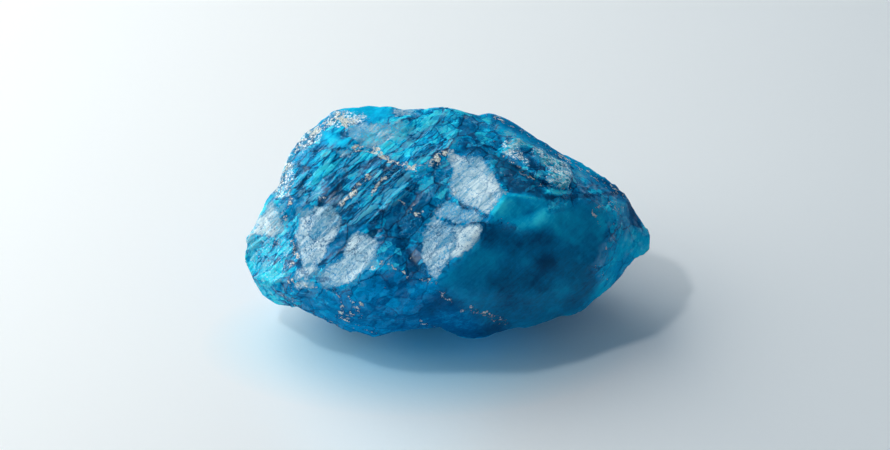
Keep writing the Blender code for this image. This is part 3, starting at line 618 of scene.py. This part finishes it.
def apatiteMaterial():
    material = bpy.data.materials.new("apatiteRoughBroken")
    material.use_nodes = True
    tree = material.node_tree
    tree.nodes.clear()
    toneNames = ("sheen", "sheenBright", "frosted", "frostDark", "crust", "crustDark")
    tones = {name: hexColor(apatite[name]) for name in toneNames}
    markNames = ("clear", "crust", "frost", "sheen", "tone", "streaked", "broken", "crease", "growth")
    marks = [(name, "mark", {"attribute_name": name}, {}) for name in markNames]
    # rows: name, kind, settings if any, links to earlier rows. Settings go by input, or in order as a tuple.
    # Links go by input, or as a list from the first input on, or one for the first. A link is a row's name,
    # or a name and an output
    patterns = [
        ("place", "coordinates", {}),
        ("mm", "vectorScale", {"Scale": 1000.0}, ("place", "Object")),
        # grain of crushed crystal 0.3 mm, finer grit 0.12 mm, clouds 3 mm, wandering lines 2 mm
        ("fine", "noise", (3.4, 5.0, 0.65), "mm"),
        ("grit", "noise", (8.0, 3.0, 0.7), "mm"),
        ("broad", "noise", (0.32, 4.0, 0.6), "mm"),
        ("wander", "noise", (0.55, 5.0, 0.62, 1.2), "mm"),
        ("hair", "noise", (0.95, 4.0, 0.6, 0.9), "mm"),
        # bands along the growth direction, 0.7 mm wide and 4 mm long, with hairs a fifth as wide
        ("combed", "stretch", {"Scale": (0.19, 1.05, 0.45)}, ("growth", "Vector")),
        ("wideBands", "noise", (1.0, 5.0, 0.62, 0.35), "combed"),
        ("combedFine", "stretch", {"Scale": (0.5, 5.2, 1.6)}, ("growth", "Vector")),
        ("hairBands", "noise", (1.0, 3.0, 0.6, 0.5), "combedFine"),
        ("hairShare", "range", (0.3, 0.7, -0.14, 0.14), "hairBands"),
        ("bands", "add", ["wideBands", "hairShare"]),
        ("combedSkin", "stretch",
         {"Rotation": (0.0, 0.0, -0.9), "Scale": (0.5, 2.6, 1.0)}, ("growth", "Vector")),
        ("skinBands", "noise", (1.0, 4.0, 0.6, 0.8), "combedSkin"),
    ]
    flakes = [
        # two sizes of cells drawn out along the growth direction, each tilted and toned its own way
        ("drift", "noise", (0.9, 2.0), "mm"),
        ("bent", "blendVector", {0: 0.35}, {4: ("growth", "Vector"), 5: ("drift", "Color")}),
        ("slim", "stretch", {"Scale": (0.5, 1.15, 0.8)}, ("bent", 1)),
        ("flakeWide", "cells", {"Scale": 0.8}, "slim"),
        ("flakeFine", "cells", {"Scale": 2.6}, "slim"),
        ("flakeWideParts", "split", ("flakeWide", "Color")),
        ("flakeEdge", "cellEdge", {"Scale": 0.8}, "slim"),
        ("flakeFineParts", "split", ("flakeFine", "Color")),
        # splinters on striated faces, 3 mm long and 0.5 mm wide, with a thin gap between them
        ("slender", "stretch", {"Scale": (0.46, 2.6, 1.1)}, ("bent", 1)),
        ("splinter", "cells", {"Scale": 1.0}, "slender"),
        ("splinterParts", "split", ("splinter", "Color")),
        ("splinterEdge", "cellEdge", {"Scale": 1.0}, "slender"),
        ("gap", "range", (0.02, 0.10), "splinterEdge"),
        # crushed grains 0.3 mm wide
        ("grain", "cells", {"Scale": 3.1}, "mm"),
        ("grainParts", "split", ("grain", "Color")),
        ("grainEdge", "cellEdge", {"Scale": 3.1}, "mm"),
        ("grainBody", "range", (0.03, 0.12), "grainEdge"),
        # each flake leans the surface its own way
        ("tiltBoth", "blendVector", {0: 0.5}, {4: ("flakeWide", "Color"), 5: ("flakeFine", "Color")}),
        ("tilt", "vectorSubtract", {1: (0.5, 0.5, 0.5)}, ("tiltBoth", 1)),
        ("facing", "surface", {}),
        ("flakeAmount", "multiply", (apatite["flakeTilt"],), "broken"),
        ("flakeLean", "vectorScale", {0: "tilt", "Scale": "flakeAmount"}),
        ("flakeSum", "vectorAdd", [("facing", "Normal"), "flakeLean"]),
        ("flakeNormal", "vectorUnit", "flakeSum"),
        ("glintAmount", "multiplyAdd", (apatite["glintTilt"], 0.25), "broken"),
        ("glintLean", "vectorScale", {0: "tilt", "Scale": "glintAmount"}),
        ("glintSum", "vectorAdd", [("facing", "Normal"), "glintLean"]),
        ("glintNormal", "vectorUnit", "glintSum"),
    ]
    depth = [
        # tone: the mark, plus bands and splinters where striated with painted shade in their gaps, plus
        # clouds, plus grain and flakes where broken with a few painted glints, less at cracks
        ("bandTone", "range", (0.36, 0.56, -0.26, 0.16), "bands"),
        ("splinterTone", "range", (0.0, 1.0, -0.24, 0.20), "splinterParts"),
        # painted shade in the gaps between splinters
        ("gapTone", "multiplyAdd", (0.36, -0.34), "gap"),
        ("striaTone", "add", ["bandTone", "splinterTone"]),
        ("striaAll", "add", ["striaTone", "gapTone"]),
        ("toneStria", "multiplyAdd", ["striaAll", "streaked", "tone"]),
        ("cloudTone", "range", (0.3, 0.7, -0.10, 0.10), "broad"),
        ("toneCloud", "add", ["toneStria", "cloudTone"]),
        ("grainTone", "range", (0.3, 0.7, -0.09, 0.09), "fine"),
        ("grainShare", "range", (0.0, 1.0, 0.2, 1.0), "broken"),
        ("toneGrain", "multiplyAdd", ["grainTone", "grainShare", "toneCloud"]),
        ("flakeTone", "range", (0.0, 1.0, -0.11, 0.11), "flakeFineParts"),
        # painted glints: a few fine flakes lit brighter
        ("litMix", "multiplyAdd", (0.3,), {0: "fine", 2: ("flakeFineParts", 2)}),
        ("litTone", "range", (0.96, 1.0, 0.0, 0.34), "litMix"),
        ("facetTone", "range", (0.0, 1.0, -0.16, 0.14), "flakeWideParts"),
        ("facetGap", "range", (0.012, 0.045, -0.34, 0.0), "flakeEdge"),
        ("facetBoth", "add", ["facetTone", "facetGap"]),
        ("facetFlake", "add", ["facetBoth", "flakeTone"]),
        ("flakeBoth", "add", ["facetFlake", "litTone"]),
        ("toneFlake", "multiplyAdd", ["flakeBoth", "broken", "toneGrain"]),
        ("wanderOff", "subtract", (0.5,), "wander"),
        ("wanderGap", "absolute", "wanderOff"),
        ("crack", "range", (0.003, 0.012), "wanderGap"),
        ("crackDrop", "multiplyAdd", (0.34, -0.34), "crack"),
        ("crackShare", "range", (0.0, 1.0, 0.12, 1.0), "broken"),
        ("toneCrack", "multiplyAdd", ["crackDrop", "crackShare", "toneFlake"]),
        # the marked cracks: the mark plus grain, cut sharply, so they break up and wander
        ("creaseRough", "add", ["crease", "fine"]),
        ("creaseLine", "range", (1.42, 1.48), "creaseRough"),
        ("toneCrease", "multiplyAdd", (-0.26,), {0: "creaseLine", 2: "toneCrack"}),
        ("creaseGap", "multiplyAdd", (-0.7, 1.0), "creaseLine"),
        # crust: cream specks 0.2 mm wide, thicker where the mark is stronger
        ("lumpFine", "noise", (2.2, 4.0, 0.75), "mm"),
        ("lumpWide", "noise", (0.8, 2.0, 0.5), "mm"),
        ("lumpHalf", "multiply", (0.25,), "lumpWide"),
        ("lumps", "multiplyAdd", (0.75,), {0: "lumpFine", 2: "lumpHalf"}),
        ("lumpMark", "multiplyAdd", (0.30,), {0: "crust", 2: "lumps"}),
        ("speck", "range", (0.78, 0.80), "lumpMark"),
        # a darker rim round each speck
        ("speckRim", "range", (0.70, 0.77, 0.0, -0.2), "lumpMark"),
        ("toneRim", "add", ["speckRim", "toneCrease"]),
        # smooth faces: faint strokes along the growth, clouds 0.6 mm wide and a few dark specks
        ("stroke", "range", (0.34, 0.68, -0.06, 0.06), "hairBands"),
        ("mottle", "noise", (1.6, 4.0, 0.7, 0.6), "mm"),
        ("mottleTone", "range", (0.3, 0.7, -0.10, 0.08), "mottle"),
        ("scratch", "add", ["stroke", "mottleTone"]),
        ("calm", "subtract", {0: 1.0}, {1: "broken"}),
        ("toneAll", "multiplyAdd", {"use_clamp": True}, ["scratch", "calm", "toneRim"]),
        ("stoneTone", "ramp", "toneAll"),
    ]
    skin = [
        # painted sheen: pale paint for broken faces that throw light back, ragged at the edge, gritty, cut by
        # cracks
        ("raggedness", "range", (0.3, 0.7, -0.22, 0.22), "fine"),
        ("ragged", "add", ["sheen", "raggedness"]),
        ("skinArea", "range", (0.40, 0.47), "ragged"),
        ("gritHalf", "multiply", (0.5,), "grit"),
        ("gritFine", "multiplyAdd", (0.5,), {0: "fine", 2: "gritHalf"}),
        ("gritSheen", "multiplyAdd", (0.16,), {0: "sheen", 2: "gritFine"}),
        ("skinGrain", "range", (0.55, 0.62, 0.16, 1.0), "gritSheen"),
        ("skinWhole", "multiply", ["skinArea", "skinGrain"]),
        ("hairOff", "subtract", (0.5,), "hair"),
        ("hairGap", "absolute", "hairOff"),
        ("hairLine", "range", (0.006, 0.018, 1.0, 0.0), "hairGap"),
        ("facetCrack", "range", (0.006, 0.026, 0.6, 1.0), "flakeEdge"),
        ("skinHair", "multiply", ["skinWhole", "facetCrack"]),
        ("skinSplit", "multiply", ["skinHair", "crack"]),
        ("skinCut", "multiply", ["skinSplit", "creaseGap"]),
        # on striated faces painted sheen on every other splinter and on the raised side of each band
        ("bandRaised", "range", (0.50, 0.54), "bands"),
        ("splinterPale", "range", (0.52, 0.56, 0.15, 1.0), ("splinterParts", 1)),
        ("striaShare", "range", (0.3, 0.6, 0.0, 0.62), "streaked"),
        ("cloudShare", "range", (0.36, 0.5, 0.3, 1.0), "broad"),
        ("striaPale", "multiply", ["bandRaised", "splinterPale"]),
        ("striaCut", "multiply", ["striaPale", "gap"]),
        ("striaCloud", "multiply", ["striaCut", "cloudShare"]),
        ("striaSkin", "multiply", ["striaCloud", "striaShare"]),
        # on broken faces pale hair lines
        ("hairCloud", "range", (0.46, 0.56, 0.0, 0.6), "broad"),
        ("brokenShare", "range", (0.4, 0.8), "broken"),
        ("hairPart", "multiply", ["hairLine", "hairCloud"]),
        ("hairSkin", "multiply", ["hairPart", "brokenShare"]),
        ("skinTwo", "larger", ["striaSkin", "hairSkin"]),
        # painted sheen and pale hair lines together
        ("skin", "larger", ["skinCut", "skinTwo"]),
        ("flakeLift", "range", (0.0, 1.0, -0.22, 0.22), ("flakeWideParts", 1)),
        ("bandLift", "range", (0.35, 0.65, -0.25, 0.25), "skinBands"),
        ("liftBoth", "add", ["flakeLift", "bandLift"]),
        ("skinBright", "add", ["sheen", "liftBoth"]),
        ("skinMix", "range", (0.50, 1.12), "skinBright"),
        ("skinTone", "blendColor", {6: tones["sheen"], 7: tones["sheenBright"]}, "skinMix"),
        # frost: crushed grains, whitish, with the stone showing between them
        ("frostLift", "multiplyAdd", (0.19,), {0: "frost", 2: "grit"}),
        ("frostGrit", "range", (0.58, 0.63), "frostLift"),
        ("frostArea", "range", (0.15, 0.5), "frost"),
        ("frostGrains", "multiply", ["frostGrit", "grainBody"]),
        ("frosting", "multiply", ["frostGrains", "frostArea"]),
        ("frostMix", "range", (0.25, 0.65), "grainParts"),
        ("frostTone", "blendColor", {6: tones["frostDark"], 7: tones["frosted"]}, "frostMix"),
        ("crustMix", "range", (0.42, 0.56), "grit"),
        ("crustTone", "blendColor", {6: tones["crustDark"], 7: tones["crust"]}, "crustMix"),
        ("skinned", "blendColor", {0: "skin", 6: "stoneTone", 7: ("skinTone", 2)}),
        ("frostedOver", "blendColor", {0: "frosting", 6: ("skinned", 2), 7: ("frostTone", 2)}),
        ("color", "blendColor", {0: "speck", 6: ("frostedOver", 2), 7: ("crustTone", 2)}),
    ]
    body = [
        ("coverTwo", "larger", ["speck", "skin"]),
        ("cover", "larger", ["coverTwo", "frosting"]),
        ("roughBare", "blend", {2: apatite["roughCalm"], 3: apatite["roughClear"]}, "broken"),
        ("roughSkin", "blend", {3: apatite["roughSkin"]}, {0: "cover", 2: "roughBare"}),
        ("roughAll", "blend", {3: apatite["roughCrust"]}, {0: "speck", 2: "roughSkin"}),
        # see-through share: most in deep tones, little in light ones and under the painted sheen, frost and
        # crust
        ("clearTone", "range", (0.45, 0.95, apatite["clear"], apatite["clearThin"]), "toneAll"),
        ("clearMark", "multiply", ["clearTone", "clear"]),
        ("clearAll", "blend", {3: 0.1}, {0: "cover", 2: "clearMark"}),
        # only the bare blue stone glows through
        ("glow", "range", (0.02, 0.4, apatite["scatter"], 0.0), "cover"),
        # glassy glints: every other flake, and grit on the painted sheen, frost and crust
        ("glossLot", "multiplyAdd", (0.4,), {0: "grit", 2: "flakeFineParts"}),
        ("glossFlake", "range", (0.84, 0.90, 0.0, 0.55), "glossLot"),
        ("glossBroken", "multiply", ["glossFlake", "broken"]),
        ("glossGrit", "range", (0.56, 0.62), "grit"),
        ("glossSkin", "multiply", ["glossGrit", "cover"]),
        ("gloss", "larger", ["glossBroken", "glossSkin"]),
        # relief too fine for the mesh: grain, then bands and splinters
        ("grainRelief", "bump",
         {"Strength": 0.6, "Distance": 0.00005}, {"Height": "fine", "Normal": "flakeNormal"}),
        ("striaHeight", "multiplyAdd", (0.5,), {0: "splinterParts", 2: "bands"}),
        ("striaOnly", "multiply", ["striaHeight", "streaked"]),
        ("relief", "bump",
         {"Strength": 0.8, "Distance": 0.00025}, {"Height": "striaOnly", "Normal": "grainRelief"}),
        ("glints", "bump",
         {"Strength": 0.7, "Distance": 0.00006}, {"Height": "grit", "Normal": "glintNormal"}),
        ("shader", "principled",
         {"IOR": apatite["ior"], "Metallic": 0.0, "Specular Tint": apatite["gloss"],
          "Specular IOR Level": apatite["glossLevel"], "Coat Roughness": apatite["coatRough"],
          "Coat IOR": apatite["coatIor"], "Subsurface Radius": apatite["scatterTint"],
          "Subsurface Scale": apatite["scatterReach"]},
         {"Base Color": ("color", 2), "Roughness": "roughAll", "Transmission Weight": "clearAll",
          "Subsurface Weight": "glow", "Normal": "relief", "Coat Weight": "gloss",
          "Coat Normal": "glints"}),
        ("within", "absorption", {"Color": apatite["absorbColor"], "Density": apatite["absorbDensity"]}, {}),
        ("out", "output", {"Surface": "shader", "Volume": "within"}),
    ]
    made = {}
    for name, kind, *rest in marks + patterns + flakes + depth + skin + body:
        settings, links = rest if len(rest) == 2 else ({}, rest[0])
        node, always, order = nodeKinds[kind]
        if isinstance(settings, tuple):
            settings = dict(zip(order, settings))
        if not isinstance(links, dict):
            links = dict(enumerate(links if isinstance(links, list) else [links]))
        wired = {slot: (source, 0) if isinstance(source, str) else source for slot, source in links.items()}
        sockets = {slot: made[source].outputs[out] for slot, (source, out) in wired.items()}
        made[name] = addNode(tree, "ShaderNode" + node, {**always, **settings}, sockets)
    stops = made["stoneTone"].color_ramp.elements
    while len(stops) < len(apatite["tones"]):
        stops.new(0.5)
    for stop, (at, code) in zip(stops, apatite["tones"]):
        stop.position = at
        stop.color = hexColor(code)
    return material


apatiteStone = makeStone()
apatiteStone.data.materials.append(apatiteMaterial())
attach(apatiteStone, "root")
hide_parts("apatite_crystal")
print("stone done")


# uncoated paper: matt, with a fine even grain
paper = {
    "tone": "#F4F6F6", "rough": 0.9, "grainMm": 0.38, "grainLift": 0.00005, "grainStrength": 0.35,
    "half": 1.6, "below": 0.00005,  # m, half its width, and how far under the stone it lies
    # a faint blue pool of painted light on the paper, where light would come through the stone: tone, middle
    # and reach in m
    "paintedGlow": "#A8ECFF", "paintedGlowAt": (-0.003, -0.007, 0.0), "paintedGlowReach": (0.022, 0.011, 1.0),
}


def paperFloor():
    mesh = bpy.data.meshes.new("paperFloor")
    half, z = paper["half"], -paper["below"]
    corners = [(-half, -half, z), (half, -half, z), (half, half, z), (-half, half, z)]
    mesh.from_pydata(corners, [], [(0, 1, 2, 3)])
    floor = bpy.data.objects.new("paperFloor", mesh)
    bpy.context.scene.collection.objects.link(floor)
    material = bpy.data.materials.new("mattPaper")
    material.use_nodes = True
    tree = material.node_tree
    shader = tree.nodes["Principled BSDF"]
    shader.inputs["Roughness"].default_value = paper["rough"]
    place = addNode(tree, "ShaderNodeTexCoord").outputs["Object"]
    grain = addNode(tree, "ShaderNodeTexNoise", {"Scale": 500.0 / paper["grainMm"], "Detail": 3.0},
                    {"Vector": place})
    spread = addNode(tree, "ShaderNodeMapping",
                     {"vector_type": "TEXTURE", "Location": paper["paintedGlowAt"], "Scale": paper["paintedGlowReach"]},
                     {"Vector": place})
    pool = addNode(tree, "ShaderNodeTexGradient", {"gradient_type": "SPHERICAL"},
                   {"Vector": spread.outputs[0]})
    # painted pool of blue light near the stone
    glowPainted = addNode(tree, "ShaderNodeMix",
                   {"data_type": "RGBA", 6: hexColor(paper["tone"]), 7: hexColor(paper["paintedGlow"])},
                   {0: pool.outputs[0]})
    bump = addNode(tree, "ShaderNodeBump",
                   {"Strength": paper["grainStrength"], "Distance": paper["grainLift"]},
                   {"Height": grain.outputs["Fac"]})
    tree.links.new(glowPainted.outputs[2], shader.inputs["Base Color"])
    tree.links.new(bump.outputs[0], shader.inputs["Normal"])
    floor.data.materials.append(material)
    return floor


paperFloor()
print("floor done")


studio = {
    # each light: from where, how far in m, disk width in m, watts, tone
    "lights": {
        "softKey": ((-0.76, 0.36, 0.52), 0.19, 0.30, 0.52, "#FFFAF2"),
        "topPanel": ((-0.2, 0.62, 0.8), 0.60, 0.40, 0.34, "#DCEAF6"),
        "spark": ((-0.45, -0.1, 0.88), 0.30, 0.026, 0.14, "#FFFFFF"),
    },
    "skyTone": "#98B2C6", "skyPower": 0.48,
    # blue light the stone has let through: from and at in mm, degrees wide, watts
    "poolFrom": (-12.0, -64.0, 34.0), "poolAt": (-5.0, -8.5, 0.0), "poolDeg": 30.0, "poolPower": 0.024,
    "poolTone": "#30D4FF", "poolBlend": 1.0, "poolSize": 0.004,  # m
    "viewElevation": 40.0, "lens": 200.0, "sensor": 36.0, "frameWidthMm": 89.0, "clip": (0.01, 10.0),  # m
}


def aim(thing, target):
    # turned so that its -Z points at the target and its Y stays up
    thing.rotation_mode = "QUATERNION"
    thing.rotation_quaternion = (target - thing.location).to_track_quat("-Z", "Y")


def addLight(name, kind, watts, tone, place, target, settings):
    light = bpy.data.lights.new(name, kind)
    light.energy = watts
    light.color = hexColor(tone)[:3]
    for setting, value in settings.items():
        setattr(light, setting, value)
    thing = bpy.data.objects.new(name, light)
    thing.location = place
    aim(thing, target)
    bpy.context.scene.collection.objects.link(thing)


def addStudio():
    scene = bpy.context.scene
    centre = Vector(layout["centre"]) / 1000.0
    world = bpy.data.worlds.new("studioAir")
    world.use_nodes = True
    sky = world.node_tree.nodes["Background"]
    sky.inputs["Color"].default_value = hexColor(studio["skyTone"])
    sky.inputs["Strength"].default_value = studio["skyPower"]
    scene.world = world
    for name, (fromWhere, away, size, watts, tone) in studio["lights"].items():
        place = centre + Vector(fromWhere).normalized() * away
        addLight(name, "AREA", watts, tone, place, centre, {"shape": "DISK", "size": size})
    addLight("bluePool", "SPOT", studio["poolPower"], studio["poolTone"],
             Vector(studio["poolFrom"]) / 1000.0, Vector(studio["poolAt"]) / 1000.0,
             {"spot_size": math.radians(studio["poolDeg"]), "spot_blend": studio["poolBlend"],
              "shadow_soft_size": studio["poolSize"]})
    camera = bpy.data.cameras.new("camera")
    camera.lens = studio["lens"]
    camera.sensor_width = studio["sensor"]
    camera.clip_start, camera.clip_end = studio["clip"]
    # the distance at which the frame is frameWidthMm wide: lens times width over sensor
    away = studio["lens"] * studio["frameWidthMm"] / studio["sensor"] / 1000.0
    lift = math.radians(studio["viewElevation"])
    cameraThing = bpy.data.objects.new("camera", camera)
    cameraThing.location = centre + Vector((0, -math.cos(lift), math.sin(lift))) * away
    aim(cameraThing, centre)
    scene.collection.objects.link(cameraThing)
    scene.camera = cameraThing
    scene.view_settings.view_transform = "Standard"


addStudio()
print("studio done")
